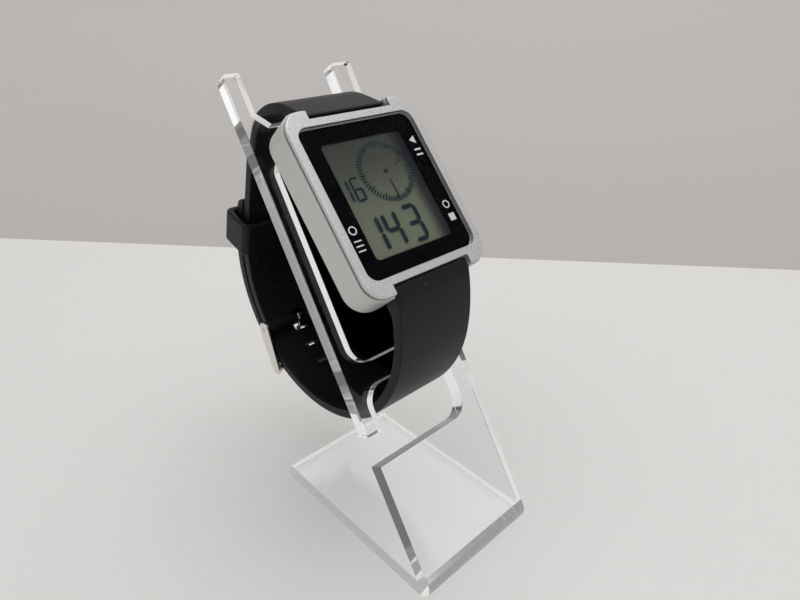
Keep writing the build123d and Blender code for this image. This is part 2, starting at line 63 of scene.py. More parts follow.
# ---- Table and wall ----
# A matt white table top that ends behind the stand, and a plain painted wall some way past its edge.
def surface(name, colour, shade, rough, grain, bump, metal=0.0, blotch=150.0, stretch=(1, 1, 1), **fixed):
    """A painted or moulded surface: two close tones in soft blotches, a fine grain, and sheen to match."""
    made = bpy.data.materials.new(name)
    made.use_nodes = True
    nodes, links = made.node_tree.nodes, made.node_tree.links
    shader = nodes["Principled BSDF"]
    place = nodes.new("ShaderNodeTexCoord")
    turn = nodes.new("ShaderNodeMapping")
    turn.inputs["Scale"].default_value = stretch
    links.new(place.outputs["Object"], turn.inputs["Vector"])
    cloud = nodes.new("ShaderNodeTexNoise")
    cloud.inputs["Scale"].default_value = blotch
    cloud.inputs["Detail"].default_value = 3.0
    fine = nodes.new("ShaderNodeTexNoise")
    fine.inputs["Scale"].default_value = grain
    fine.inputs["Detail"].default_value = 4.0
    for pattern in (cloud, fine):
        links.new(turn.outputs["Vector"], pattern.inputs["Vector"])
    blend = nodes.new("ShaderNodeMath")
    blend.operation = "MULTIPLY_ADD"
    blend.inputs[1].default_value = 0.5
    links.new(fine.outputs["Fac"], blend.inputs[0])
    half = nodes.new("ShaderNodeMath")
    half.operation = "MULTIPLY"
    half.inputs[1].default_value = 0.5
    links.new(cloud.outputs["Fac"], half.inputs[0])
    links.new(half.outputs[0], blend.inputs[2])
    tones = nodes.new("ShaderNodeValToRGB")
    tones.color_ramp.elements[0].position = 0.3
    tones.color_ramp.elements[0].color = (*shade, 1)
    tones.color_ramp.elements[1].position = 0.7
    tones.color_ramp.elements[1].color = (*colour, 1)
    links.new(blend.outputs[0], tones.inputs["Fac"])
    links.new(tones.outputs["Color"], shader.inputs["Base Color"])
    gloss = nodes.new("ShaderNodeMapRange")
    gloss.inputs["To Min"].default_value = rough[0]
    gloss.inputs["To Max"].default_value = rough[1]
    links.new(fine.outputs["Fac"], gloss.inputs["Value"])
    links.new(gloss.outputs["Result"], shader.inputs["Roughness"])
    relief = nodes.new("ShaderNodeBump")
    relief.inputs["Strength"].default_value = 0.5
    relief.inputs["Distance"].default_value = bump
    links.new(fine.outputs["Fac"], relief.inputs["Height"])
    links.new(relief.outputs["Normal"], shader.inputs["Normal"])
    shader.inputs["Metallic"].default_value = metal
    for socket, value in fixed.items():
        shader.inputs[socket.replace("_", " ")].default_value = value
    return made


table_edge = Vector((0.1140, 0.1202, 0))
edge_turn = radians(42.17)
edge_out = Vector((cos(edge_turn), sin(edge_turn), 0))
mm = 0.001
stage_size = 6.0
wall_gap = 0.5
table_gap = Vector((0, 0, 0.1 * mm))
bpy.ops.mesh.primitive_plane_add(size=stage_size, rotation=(0, 0, edge_turn),
                                 location=table_edge - edge_out * stage_size / 2 - table_gap)
table_top = bpy.context.object
table_top.name = "table_top"
table_top.data.materials.append(surface("white_table", (0.83, 0.822, 0.81), (0.81, 0.802, 0.79),
                                        (0.45, 0.55), 900.0, 1e-5, blotch=9.0))
bpy.ops.mesh.primitive_plane_add(size=stage_size, rotation=(0, pi / 2, edge_turn),
                                 location=table_edge + edge_out * wall_gap)
wall = bpy.context.object
wall.name = "wall"
wall.data.materials.append(surface("painted_wall", (0.80, 0.765, 0.745), (0.77, 0.735, 0.71),
                                   (0.8, 0.9), 300.0, 1e-5, blotch=1.2))

# ---- Light ----
# A bright ceiling over a duller room, and one large soft lamp above and behind the stand.
sky = bpy.data.worlds.new("room")
bpy.context.scene.world = sky
sky.use_nodes = True
sky_nodes, sky_links = sky.node_tree.nodes, sky.node_tree.links
sky_place = sky_nodes.new("ShaderNodeTexCoord")
sky_split = sky_nodes.new("ShaderNodeSeparateXYZ")
sky_links.new(sky_place.outputs["Generated"], sky_split.inputs["Vector"])
sky_height = sky_nodes.new("ShaderNodeMapRange")
sky_height.inputs["From Min"].default_value = -1.0
sky_links.new(sky_split.outputs["Z"], sky_height.inputs["Value"])
sky_tones = sky_nodes.new("ShaderNodeValToRGB")
sky_ramp = sky_tones.color_ramp
sky_ramp.elements[0].position = 0.5
sky_ramp.elements[0].color = (0.50, 0.495, 0.49, 1)
sky_ramp.elements[1].position = 1.0
sky_ramp.elements[1].color = (1.0, 1.0, 1.0, 1)
for position, tone in ((0.8, 0.52), (0.9, 0.95)):
    sky_stop = sky_ramp.elements.new(position)
    sky_stop.color = (tone, tone, tone, 1)
sky_links.new(sky_height.outputs["Result"], sky_tones.inputs["Fac"])
sky_links.new(sky_tones.outputs["Color"], sky_nodes["Background"].inputs["Color"])
sky_nodes["Background"].inputs["Strength"].default_value = 1.08

lamp_place = Vector((0.25, 0.18, 0.70))
bpy.ops.object.light_add(type="AREA", location=lamp_place)
lamp = bpy.context.object
lamp.name = "ceiling_lamp"
lamp.data.size = 0.8
lamp.data.energy = 1.4
lamp.rotation_euler = (Vector((0, 0, 0.05)) - lamp_place).to_track_quat("-Z", "Y").to_euler()


# ---- Display stand ----
# One sheet of clear plastic, cut to shape, bent hot round its lower edge and polished. Its cut edges
# keep fine marks across the sheet, and its corners are just broken.
def only(piece):
    """Makes this the one selected, active object."""
    bpy.ops.object.select_all(action="DESELECT")
    piece.select_set(True)
    bpy.context.view_layer.objects.active = piece


def merged_copy(node, name):
    """A copy of a construction piece as one clean shell, its flat faces whole."""
    piece = bpy.data.objects.new(name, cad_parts[node].data.copy())
    bpy.context.scene.collection.objects.link(piece)
    piece.data.materials.clear()
    only(piece)
    bpy.ops.object.mode_set(mode="EDIT")
    bpy.ops.mesh.select_all(action="SELECT")
    bpy.ops.mesh.remove_doubles(threshold=2e-6)
    bpy.ops.mesh.dissolve_limited(angle_limit=radians(0.6))
    bpy.ops.object.mode_set(mode="OBJECT")
    bpy.ops.mesh.customdata_custom_splitnormals_clear()
    return piece


def break_edges(piece, width, steps=2, sharper_than=50):
    """Rounds every edge sharper than an angle, and shades the rest smooth."""
    only(piece)
    rounding = piece.modifiers.new("rounding", "BEVEL")
    rounding.width = width
    rounding.segments = steps
    rounding.limit_method = "ANGLE"
    rounding.angle_limit = radians(sharper_than)
    rounding.use_clamp_overlap = False
    bpy.ops.object.modifier_apply(modifier=rounding.name)
    bpy.ops.object.shade_smooth_by_angle(angle=radians(32))
    flatness = piece.modifiers.new("flatness", "WEIGHTED_NORMAL")
    flatness.weight = 100
    flatness.keep_sharp = True
    bpy.ops.object.modifier_apply(modifier=flatness.name)


def clear_plastic(name, tint, rough, ior, lamp_tint, marks=0.0, **fixed):
    """A clear solid that lets room light through, with faint haze and, on cut edges, fine cross marks."""
    made = surface(name, tint, tuple(0.985 * part for part in tint), rough, 1200.0, 2e-8,
                   Transmission_Weight=1.0, IOR=ior, **fixed)
    nodes, links = made.node_tree.nodes, made.node_tree.links
    shader = nodes["Principled BSDF"]
    if marks:
        place = nodes.new("ShaderNodeTexCoord")
        cutter = nodes.new("ShaderNodeTexWave")
        cutter.bands_direction = "Z"
        cutter.inputs["Scale"].default_value = mark_scale
        cutter.inputs["Distortion"].default_value = 6.0
        cutter.inputs["Detail"].default_value = 3.0
        links.new(place.outputs["Object"], cutter.inputs["Vector"])
        relief = nodes.new("ShaderNodeBump")
        relief.inputs["Strength"].default_value = 0.35
        relief.inputs["Distance"].default_value = marks
        links.new(cutter.outputs["Fac"], relief.inputs["Height"])
        links.new(relief.outputs["Normal"], shader.inputs["Normal"])
    let_through = nodes.new("ShaderNodeBsdfTransparent")
    let_through.inputs["Color"].default_value = (lamp_tint, lamp_tint, lamp_tint, 1)
    path = nodes.new("ShaderNodeLightPath")
    soft = nodes.new("ShaderNodeMath")
    soft.operation = "MAXIMUM"
    links.new(path.outputs["Is Shadow Ray"], soft.inputs[0])
    links.new(path.outputs["Is Diffuse Ray"], soft.inputs[1])
    either = nodes.new("ShaderNodeMixShader")
    links.new(soft.outputs[0], either.inputs["Fac"])
    links.new(shader.outputs["BSDF"], either.inputs[1])
    links.new(let_through.outputs["BSDF"], either.inputs[2])
    links.new(either.outputs["Shader"], nodes["Material Output"].inputs["Surface"])
    return made


lean = radians(56.9)
slope = Vector((0, cos(lean), sin(lean)))
bend_top = 10 * mm
acrylic_index, mark_scale = 1.49, 125.0
facing, facing_back = 0.8, 0.95
stand = merged_copy("stand", "clear_stand")
break_edges(stand, 0.18 * mm)
stand.data.materials.append(clear_plastic("polished_acrylic", (0.99, 0.995, 0.995), (0.0, 0.003),
                                          acrylic_index, 0.985))
# The cut edges also glow faintly: painted light, not a lamp, that keeps them from turning black inside the
# sheet.
stand.data.materials.append(clear_plastic("cut_acrylic_edge_glowing", (0.985, 0.99, 0.992), (0.03, 0.12),
                                          acrylic_index, 0.95, marks=4e-6,
                                          Emission_Color=(1, 1, 1, 1), Emission_Strength=0.10))
for face in stand.data.polygons:
    along = face.normal.dot(slope)
    is_cut = abs(face.normal.x) > facing or along > facing or face.normal.y > facing_back
    if is_cut or (along < -facing and face.center.z > bend_top):
        face.material_index = 1
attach(stand, "stand_body")
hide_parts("stand")

# ---- Lower shell ----
# The deep body of the watch, pressed in a smooth satin metal, with round lower edges. The strap slots
# are cut through both ends, the upper shell's skirt is let in from above, and the works and the back
# from below.
glass_t = 1.4 * mm
head_tilt = radians(48.3)
lens_low, lens_high = (Vector(corner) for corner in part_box("lens"))
dial_out = Vector((0, -sin(head_tilt), cos(head_tilt)))
head_centre = (lens_low + lens_high) / 2 + dial_out * glass_t / 2
head = Matrix.Translation(head_centre) @ Matrix.Rotation(head_tilt, 4, "X")


def rounded_block(name, width, length, corner, top, foot, corner_steps=10):
    """A plate with round corners, lying flat, between two depths below the glass."""
    bpy.ops.mesh.primitive_plane_add(size=1, location=(0, 0, -foot))
    piece = bpy.context.object
    piece.name = name
    piece.scale = (width, length, 1)
    bpy.ops.object.transform_apply(location=True, rotation=True, scale=True)
    bpy.ops.object.mode_set(mode="EDIT")
    bpy.ops.mesh.select_all(action="SELECT")
    bpy.ops.mesh.bevel(offset=corner, segments=corner_steps, affect="VERTICES")
    bpy.ops.mesh.select_all(action="SELECT")
    bpy.ops.mesh.extrude_region_move(TRANSFORM_OT_translate={"value": (0, 0, foot - top)})
    bpy.ops.mesh.select_all(action="SELECT")
    bpy.ops.mesh.normals_make_consistent(inside=False)
    bpy.ops.object.mode_set(mode="OBJECT")
    return piece


def round_rim(piece, height, width, steps=5):
    """Rounds the edges of a lying plate that are at one height."""
    only(piece)
    bpy.ops.object.mode_set(mode="EDIT")
    bpy.ops.mesh.select_mode(type="EDGE")
    bpy.ops.mesh.select_all(action="DESELECT")
    bpy.ops.object.mode_set(mode="OBJECT")
    spots = piece.data.vertices
    for edge in piece.data.edges:
        edge.select = all(abs(spots[spot].co.z - height) < 1e-6 for spot in edge.vertices)
    bpy.ops.object.mode_set(mode="EDIT")
    bpy.ops.mesh.bevel(offset=width, segments=steps, affect="EDGES")
    bpy.ops.object.mode_set(mode="OBJECT")


def take_away(piece, *tools):
    """Cuts each tool's shape out of a piece and throws the tool away."""
    for tool in tools:
        only(piece)
        cutting = piece.modifiers.new("cutting", "BOOLEAN")
        cutting.operation = "DIFFERENCE"
        cutting.solver = "EXACT"
        cutting.object = tool
        bpy.ops.object.modifier_apply(modifier=cutting.name)
        bpy.data.objects.remove(tool)


def set_on_head(piece):
    """Carries a piece made lying flat to its place in the watch head."""
    piece.data.transform(head)
    piece.data.update()


def slot_tools():
    """Two blocks the size of the strap slots between the horns."""
    tools = []
    for end in (1, -1):
        bpy.ops.mesh.primitive_cube_add(size=1, location=(0, end * (horn_wall + slot_depth), -slot_mid))
        tool = bpy.context.object
        tool.scale = (slot_w, 2 * slot_depth, slot_reach)
        bpy.ops.object.transform_apply(location=True, rotation=True, scale=True)
        tools.append(tool)
    return tools


case_w, case_l, case_corner = 36.6 * mm, 43.6 * mm, 5.2 * mm
seam, case_foot, sole_round = 1.1 * mm, 9.7 * mm, 1.6 * mm
skirt, skirt_w, skirt_l, skirt_corner = 2.2 * mm, 33.8 * mm, 37.0 * mm, 3.6 * mm
horn_wall, slot_depth, slot_w = 19.2 * mm, 2.6 * mm, 22.6 * mm
slot_mid, slot_reach, past_foot = 6 * mm, 20 * mm, 12 * mm
module_w, module_l, module_corner = 29.4 * mm, 33.0 * mm, 4.0 * mm
seat_w, seat_l, seat_top = 33.0 * mm, 37.4 * mm, 8.7 * mm
lip_gap, skirt_play = 0.34 * mm, 0.05 * mm
case = rounded_block("lower_shell", case_w, case_l, case_corner, seam + lip_gap, case_foot)
round_rim(case, -case_foot, sole_round)
round_rim(case, -seam - lip_gap, 0.12 * mm, steps=2)
take_away(case, *slot_tools(),
          rounded_block("skirt_seat", skirt_w + 2 * skirt_play, skirt_l + 2 * skirt_play, skirt_corner,
                        0, skirt),
          rounded_block("works", module_w, module_l, module_corner, 0, past_foot),
          rounded_block("back_seat", seat_w, seat_l, module_corner / 2, seat_top, past_foot))
break_edges(case, 0.1 * mm)
set_on_head(case)
case.data.materials.append(surface("satin_grey_metal", (0.60, 0.615, 0.585), (0.56, 0.575, 0.545),
                                   (0.38, 0.46), 5000.0, 4e-7, metal=0.5, blotch=120.0))
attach(case, "watch_head")
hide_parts("case_body")

# ---- Upper shell ----
# The frame round the glass, in one piece with the four horns. It is blasted to a coarse, sparkling
# silver grain, stands a hair inside the lower shell, and has a skirt that sits down inside it.
bezel_inset, bezel_top, crown_round = 0.4 * mm, 0.25 * mm, 0.5 * mm
glass_w, glass_l, glass_corner = 31.6 * mm, 34.8 * mm, 2.6 * mm
glass_play, ledge, ledge_top = 0.1 * mm, 1.1 * mm, 1.55 * mm
above_face, past_print = 1 * mm, 4 * mm
bezel = rounded_block("upper_shell", case_w - 2 * bezel_inset, case_l - 2 * bezel_inset,
                      case_corner - bezel_inset, bezel_top, seam)
round_rim(bezel, -bezel_top, crown_round)
take_away(bezel, *slot_tools())
bezel_skirt = rounded_block("bezel_skirt", skirt_w, skirt_l, skirt_corner, seam - lip_gap, skirt)
only(bezel)
fusing = bezel.modifiers.new("fusing", "BOOLEAN")
fusing.operation = "UNION"
fusing.solver = "EXACT"
fusing.object = bezel_skirt
bpy.ops.object.modifier_apply(modifier=fusing.name)
bpy.data.objects.remove(bezel_skirt)
take_away(bezel,
          rounded_block("glass_seat", glass_w + 2 * glass_play, glass_l + 2 * glass_play, glass_corner,
                        -above_face, ledge_top),
          rounded_block("bore", glass_w - 2 * ledge, glass_l - 2 * ledge, glass_corner, 0, past_print))
break_edges(bezel, 0.1 * mm)
set_on_head(bezel)
bezel.data.materials.append(surface("blasted_silver", (0.80, 0.79, 0.80), (0.50, 0.49, 0.505),
                                    (0.3, 0.5), 3200.0, 8e-5, metal=0.75, blotch=3000.0))
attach(bezel, "watch_head")
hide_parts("bezel")

# ---- Glass ----
# A flat pane with a ground bevel round its face, glued on the upper shell's ledge. Its index is set far
# below that of real glass, so that it mirrors next to nothing of the room.
glass_foot, glass_index = 1.34 * mm, 1.04
lens = rounded_block("watch_glass", glass_w, glass_l, glass_corner, 0, glass_foot)
round_rim(lens, 0, 0.3 * mm, steps=1)
set_on_head(lens)
lens.data.materials.append(clear_plastic("mineral_glass", (0.97, 0.985, 0.98), (0.0, 0.002),
                                         glass_index, 0.96, Specular_IOR_Level=0.0))
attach(lens, "watch_head")
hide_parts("lens")

# ---- Print behind the glass ----
# Gloss black ink round the clear window, and three white marks over the touch pads: a ring with three
# bars, a triangle with two bars, and a ring with a square.
view_w, view_l, view_corner = 22.6 * mm, 26.9 * mm, 1.0 * mm
print_top, print_foot = 1.40 * mm, 1.55 * mm
ink = rounded_block("black_print", glass_w - 2 * glass_play, glass_l - 2 * glass_play, glass_corner,
                    print_top, print_foot)
take_away(ink, rounded_block("window", view_w, view_l, view_corner, 0, past_print))
set_on_head(ink)
ink.data.materials.append(surface("black_ink", (0.0025, 0.0025, 0.004), (0.001, 0.001, 0.002),
                                  (0.25, 0.35), 3000.0, 2e-7, Specular_IOR_Level=0.03))
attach(ink, "watch_head")
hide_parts("mask")

mark_top, mark_t = 1.35 * mm, 0.03 * mm
mark_x, mark_stroke = 13.55 * mm, 0.30 * mm


def mark_bar(x, y, length, width=mark_stroke):
    """A flat white bar lying across the strap direction."""
    bpy.ops.mesh.primitive_cube_add(size=1, location=(x, y, -mark_top - mark_t / 2))
    bpy.context.object.scale = (length, width, mark_t)
    return bpy.context.object


def mark_disc(x, y, radius, sides, turn=0.0):
    """A flat white shape with so many sides."""
    bpy.ops.mesh.primitive_cylinder_add(vertices=sides, radius=radius, depth=mark_t,
                                        location=(x, y, -mark_top - mark_t / 2), rotation=(0, 0, turn))
    return bpy.context.object


def mark_ring(x, y, radius):
    """A flat white ring."""
    ring = mark_disc(x, y, radius, 40)
    only(ring)
    bpy.ops.object.transform_apply(location=True, rotation=True, scale=True)
    hole = mark_disc(x, y, radius - mark_stroke, 40)
    hole.scale = (1, 1, 4)
    take_away(ring, hole)
    return ring


def joined(pieces, name):
    """Several flat shapes as one piece."""
    bpy.ops.object.select_all(action="DESELECT")
    for piece in pieces:
        piece.select_set(True)
    bpy.context.view_layer.objects.active = pieces[0]
    bpy.ops.object.transform_apply(location=True, rotation=True, scale=True)
    bpy.ops.object.join()
    whole = bpy.context.object
    whole.name = name
    return whole


mode_y, start_y, reset_y = -8.0 * mm, 8.4 * mm, -8.5 * mm
shapes = [mark_ring(-mark_x, mode_y + 2.2 * mm, 1.0 * mm)]
shapes += [mark_bar(-mark_x, mode_y - step * mm, 1.9 * mm) for step in (0.2, 1.3, 2.4)]
shapes += [mark_disc(mark_x, start_y + 1.9 * mm, 1.15 * mm, 3, turn=pi / 2)]
shapes += [mark_bar(mark_x, start_y - step * mm, 1.9 * mm, width=0.45 * mm) for step in (0.6, 1.9)]
shapes += [mark_ring(mark_x, reset_y + 1.9 * mm, 1.0 * mm)]
shapes += [mark_disc(mark_x, reset_y - 1.3 * mm, 1.25 * mm, 4, turn=pi / 4)]
marks = joined(shapes, "touch_marks")
set_on_head(marks)
marks.data.materials.append(surface("white_ink", (0.86, 0.86, 0.85), (0.76, 0.76, 0.75),
                                    (0.4, 0.5), 4000.0, 2e-7))
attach(marks, "watch_head")

# ---- Display ----
# A liquid crystal cell: grey-green, with its polariser's faint grain, and painted shade toward its right and
# upper edges. The lit figures' shadows on the reflector below them are painted too, as a fainter offset
# copy.
lcd_w, lcd_l = 24.0 * mm, 29.8 * mm
lcd_top, lcd_foot = 1.75 * mm, 3.3 * mm
cell = rounded_block("display_cell", lcd_w, lcd_l, 0.6 * mm, lcd_top, lcd_foot, corner_steps=3)
break_edges(cell, 0.08 * mm)
set_on_head(cell)
cell_paint_and_shade = surface("display_grey_green_painted_shade", (0.185, 0.20, 0.15), (0.165, 0.18, 0.135), (0.28, 0.36), 4500.0,
                      2e-7, blotch=260.0, Specular_IOR_Level=0.08)
cell_nodes, cell_links = cell_paint_and_shade.node_tree.nodes, cell_paint_and_shade.node_tree.links
cell_place = cell_nodes.new("ShaderNodeTexCoord")
shade_frame = cell_nodes.new("ShaderNodeMapping")
shade_frame.vector_type = "TEXTURE"
shade_frame.inputs["Location"].default_value = head_centre
shade_frame.inputs["Rotation"].default_value = (head_tilt, 0, 0)
cell_links.new(cell_place.outputs["Object"], shade_frame.inputs["Vector"])
shade_frame_split = cell_nodes.new("ShaderNodeSeparateXYZ")
cell_links.new(shade_frame.outputs["Vector"], shade_frame_split.inputs["Vector"])
# Painted shade: the cell's colour is mixed toward dark blue-grey near its right and upper edges. It stands
# in for the shadow of the print round the window and for the cell's darkening when seen aslant.
shade_shares = []
for axis, bright, shaded_at, shaded_tone in (("X", 6.0 * mm, 10.2 * mm, 0.1), ("Y", -9.0 * mm, 13.0 * mm, 0.3)):
    shade_share = cell_nodes.new("ShaderNodeMapRange")
    shade_share.interpolation_type = "SMOOTHSTEP"
    shade_share.inputs["From Min"].default_value = bright
    shade_share.inputs["From Max"].default_value = shaded_at
    shade_share.inputs["To Min"].default_value = 1.0
    shade_share.inputs["To Max"].default_value = shaded_tone
    cell_links.new(shade_frame_split.outputs[axis], shade_share.inputs["Value"])
    shade_shares.append(shade_share)
both = cell_nodes.new("ShaderNodeMath")
both.operation = "MULTIPLY"
cell_links.new(shade_shares[0].outputs["Result"], both.inputs[0])
cell_links.new(shade_shares[1].outputs["Result"], both.inputs[1])
painted_shade = cell_nodes.new("ShaderNodeMix")
painted_shade.data_type = "RGBA"
painted_shade.inputs["A"].default_value = (0.012, 0.014, 0.022, 1)
cell_links.new(both.outputs[0], painted_shade.inputs["Factor"])
cell_links.new(cell_nodes["Color Ramp"].outputs["Color"], painted_shade.inputs["B"])
cell_links.new(painted_shade.outputs["Result"], cell_nodes["Principled BSDF"].inputs["Base Color"])
cell.data.materials.append(cell_paint_and_shade)
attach(cell, "watch_head")
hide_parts("lcd_panel")

# ---- Figures on the display ----
# Seven-stroke figures with pointed strokes, and a ring of sixty ticks with a centre dot and two hands.
stroke_t = 0.02 * mm
# Depths of the lit figures and of their painted shadow, and how far that shadow is shifted.
lit_at, shadow_at = lcd_top - 0.12 * mm, lcd_top - 0.03 * mm
shadow_shift = Vector((-0.32 * mm, -0.22 * mm, 0))
lit_strokes = {"1": "bc", "3": "abcdg", "4": "bcfg", "6": "acdefg"}
figures = (("1", -8.1, -8.2, 4.0, 8.7, 0.95), ("4", -3.2, -8.2, 4.1, 8.7, 0.95),
           ("3", 2.9, -8.2, 4.3, 8.9, 0.95), ("1", -10.4, 2.4, 2.5, 5.4, 0.5),
           ("6", -7.2, 2.4, 2.6, 5.6, 0.5))


def stroke(x, y, length, width, upright):
    """One pointed stroke of a figure."""
    bpy.ops.mesh.primitive_circle_add(vertices=6, radius=1, fill_type="NGON", rotation=(0, 0, pi / 2))
    bar = bpy.context.object
    bpy.ops.object.transform_apply(location=True, rotation=True, scale=True)
    blunt = (length - width) / length * 2
    for spot in bar.data.vertices:
        if abs(spot.co.x) < 0.75:
            spot.co.x *= blunt
    bar.scale = (length / 2, width / 2 / sin(pi / 3), 1)
    bar.rotation_euler.z = pi / 2 if upright else 0
    bar.location = (x, y, 0)
    return bar


def figure(number, x, y, width, height, thick):
    """The strokes of one figure, by the middle of its outline."""
    w, h = (width - thick) / 2, (height - thick) / 4
    spots = {"a": (0, 2 * h, 0), "b": (w, h, 1), "c": (w, -h, 1), "d": (0, -2 * h, 0), "e": (-w, -h, 1),
             "f": (-w, h, 1), "g": (0, 0, 0)}
    made = []
    for key in lit_strokes[number]:
        across, up, upright = spots[key]
        length = 2 * h - thick * 0.1 if upright else 2 * w - thick * 0.1
        made.append(stroke(x + across, y + up, length, thick, upright))
    return made


ring_x, ring_y, ring_r = 2.1 * mm, 4.8 * mm, 7.3 * mm


def tick(turn, outer, length, width):
    """A short line of the ring, pointing at its centre."""
    bpy.ops.mesh.primitive_plane_add(size=1)
    line = bpy.context.object
    line.scale = (length, width, 1)
    line.rotation_euler.z = turn
    reach = outer - length / 2
    line.location = (ring_x + reach * cos(turn), ring_y + reach * sin(turn), 0)
    return line


def thickened(flat, depth, name, place):
    """A flat drawing made into a thin film at a depth below the glass."""
    only(flat)
    film = flat.modifiers.new("film", "SOLIDIFY")
    film.thickness = stroke_t
    film.offset = 0
    bpy.ops.object.modifier_apply(modifier=film.name)
    flat.name = name
    flat.data.transform(Matrix.Translation(place + Vector((0, 0, -depth))))
    set_on_head(flat)


def drawing():
    """Every lit line of the display, as flat shapes."""
    lines = []
    for number, x, y, width, height, thick in figures:
        lines += figure(number, x * mm, y * mm, width * mm, height * mm, thick * mm)
    for step in range(60):
        long_tick = step % 5 == 0
        lines.append(tick(step * pi / 30, ring_r, (1.5 if long_tick else 1.15) * mm,
                          (0.36 if long_tick else 0.28) * mm))
    bpy.ops.mesh.primitive_circle_add(vertices=24, radius=0.5 * mm, fill_type="NGON",
                                      location=(ring_x, ring_y, 0))
    lines.append(bpy.context.object)
    lines.append(tick(radians(18), 5.6 * mm, 2.2 * mm, 0.2 * mm))
    lines.append(tick(radians(-88), 6.2 * mm, 4.2 * mm, 0.2 * mm))
    return joined(lines, "drawing")


lit_film = surface("lit_segment", (0.022, 0.032, 0.046), (0.016, 0.024, 0.036), (0.35, 0.45), 3000.0, 1e-7,
                   blotch=400.0, Specular_IOR_Level=0.05)
# Painted shadow: a fainter copy of the figures, shifted down and to the left and laid on the cell, where
# their shadows would fall on the reflector.
painted_shadow_film = surface("painted_segment_shadow", (0.105, 0.117, 0.098), (0.092, 0.103, 0.088), (0.35, 0.45), 3000.0,
                      1e-7, blotch=400.0, Specular_IOR_Level=0.05)
for name, film, depth, place in (("painted_segment_shadows", painted_shadow_film, shadow_at, shadow_shift),
                                 ("lit_segments", lit_film, lit_at, Vector((0, 0, 0)))):
    lines = drawing()
    thickened(lines, depth, name, place)
    lines.data.materials.append(film)
    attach(lines, "watch_head")

# ---- Works behind the display ----
# The reflector film, rubber strips, plastic holder, board and its parts, the cell and its clips, the
# sounder and its spring: each keeps its construction shape and gets its own finish.
works = {
    "touch_pads": ((0.78, 0.60, 0.32), (0.66, 0.50, 0.26), (0.25, 0.4), 1.0),
    "reflector": ((0.80, 0.82, 0.77), (0.72, 0.74, 0.70), (0.5, 0.6), 0.0),
    "zebra_strips": ((0.42, 0.42, 0.45), (0.05, 0.05, 0.06), (0.6, 0.7), 0.0),
    "module_holder": ((0.82, 0.81, 0.77), (0.74, 0.73, 0.69), (0.45, 0.55), 0.0),
    "circuit_board": ((0.03, 0.20, 0.09), (0.02, 0.14, 0.06), (0.25, 0.4), 0.0),
    "chip_cover": ((0.02, 0.02, 0.022), (0.012, 0.012, 0.014), (0.2, 0.35), 0.0),
    "quartz_crystal": ((0.72, 0.72, 0.73), (0.60, 0.60, 0.61), (0.2, 0.35), 1.0),
    "coin_cell": ((0.70, 0.70, 0.69), (0.58, 0.58, 0.57), (0.2, 0.4), 1.0),
    "cell_leaf": ((0.74, 0.60, 0.34), (0.64, 0.51, 0.28), (0.25, 0.4), 1.0),
    "cell_strap": ((0.68, 0.68, 0.68), (0.56, 0.56, 0.56), (0.25, 0.4), 1.0),
    "sounder": ((0.78, 0.62, 0.34), (0.66, 0.52, 0.28), (0.25, 0.4), 1.0),
    "contact_spring": ((0.72, 0.70, 0.62), (0.60, 0.58, 0.50), (0.2, 0.35), 1.0),
    "gasket": ((0.03, 0.03, 0.03), (0.018, 0.018, 0.018), (0.5, 0.65), 0.0),
}
for node, (colour, shade, rough, metal) in works.items():
    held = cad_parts[node]
    held.data.materials.clear()
    held.data.materials.append(surface(node + "_finish", colour, shade, rough, 4000.0, 1e-6, metal=metal,
                                       blotch=900.0))

# ---- Case back ----
# A stainless plate brushed along the strap, let into the lower shell and held by four small screws.
back_w, back_l, back_top, back_foot = 32.8 * mm, 37.2 * mm, 8.7 * mm, 9.9 * mm
screw_x, screw_y, screw_head = 14.8 * mm, 17.0 * mm, 1.15 * mm
back = rounded_block("back_plate", back_w, back_l, 1.9 * mm, back_top, back_foot)
round_rim(back, -back_foot, 0.25 * mm, steps=3)
recesses = []
for across in (-screw_x, screw_x):
    for along in (-screw_y, screw_y):
        bpy.ops.mesh.primitive_cylinder_add(vertices=40, radius=screw_head, depth=4 * mm,
                                            location=(across, along, -back_foot))
        recesses.append(bpy.context.object)
take_away(back, *recesses)
break_edges(back, 0.06 * mm)
set_on_head(back)
back.data.materials.append(surface("brushed_stainless", (0.64, 0.64, 0.65), (0.46, 0.46, 0.47), (0.22, 0.42),
                                   4200.0, 2e-6, metal=1.0, stretch=(1, 0.03, 0.03), blotch=900.0))
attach(back, "watch_head")
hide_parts("case_back")

screws = merged_copy("back_screws", "plate_screws")
break_edges(screws, 0.04 * mm, steps=1)
steel = surface("turned_steel", (0.68, 0.68, 0.69), (0.52, 0.52, 0.53), (0.2, 0.34), 5000.0, 1e-6, metal=1.0,
                blotch=1500.0)
screws.data.materials.append(steel)
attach(screws, "watch_head")
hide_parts("back_screws")

# ---- Spring bars ----
# Turned stainless bars in the horns and through the buckle, with a thin pin at each end.
for node, body in (("spring_bar_12", "watch_head"), ("spring_bar_6", "watch_head"),
                   ("buckle_bar", "short_strap")):
    bar = merged_copy(node, node + "_turned")
    break_edges(bar, 0.08 * mm)
    bar.data.materials.append(steel)
    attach(bar, body)
    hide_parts(node)

# ---- Strap ----
# Two moulded halves in matt black silicone rubber, with softly rounded edges and fine dust. A shallow
# panel is sunk in the inner face of each, in two widths on the short half, which also steps down
# beside the case.
strap_x = (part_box("strap_12")[0][0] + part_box("strap_12")[1][0]) / 2
loop_y, loop_z = 19.947 * mm, 60.169 * mm
panel_deep, panel_w, panel_step_w = 0.3 * mm, 15 * mm, 9 * mm


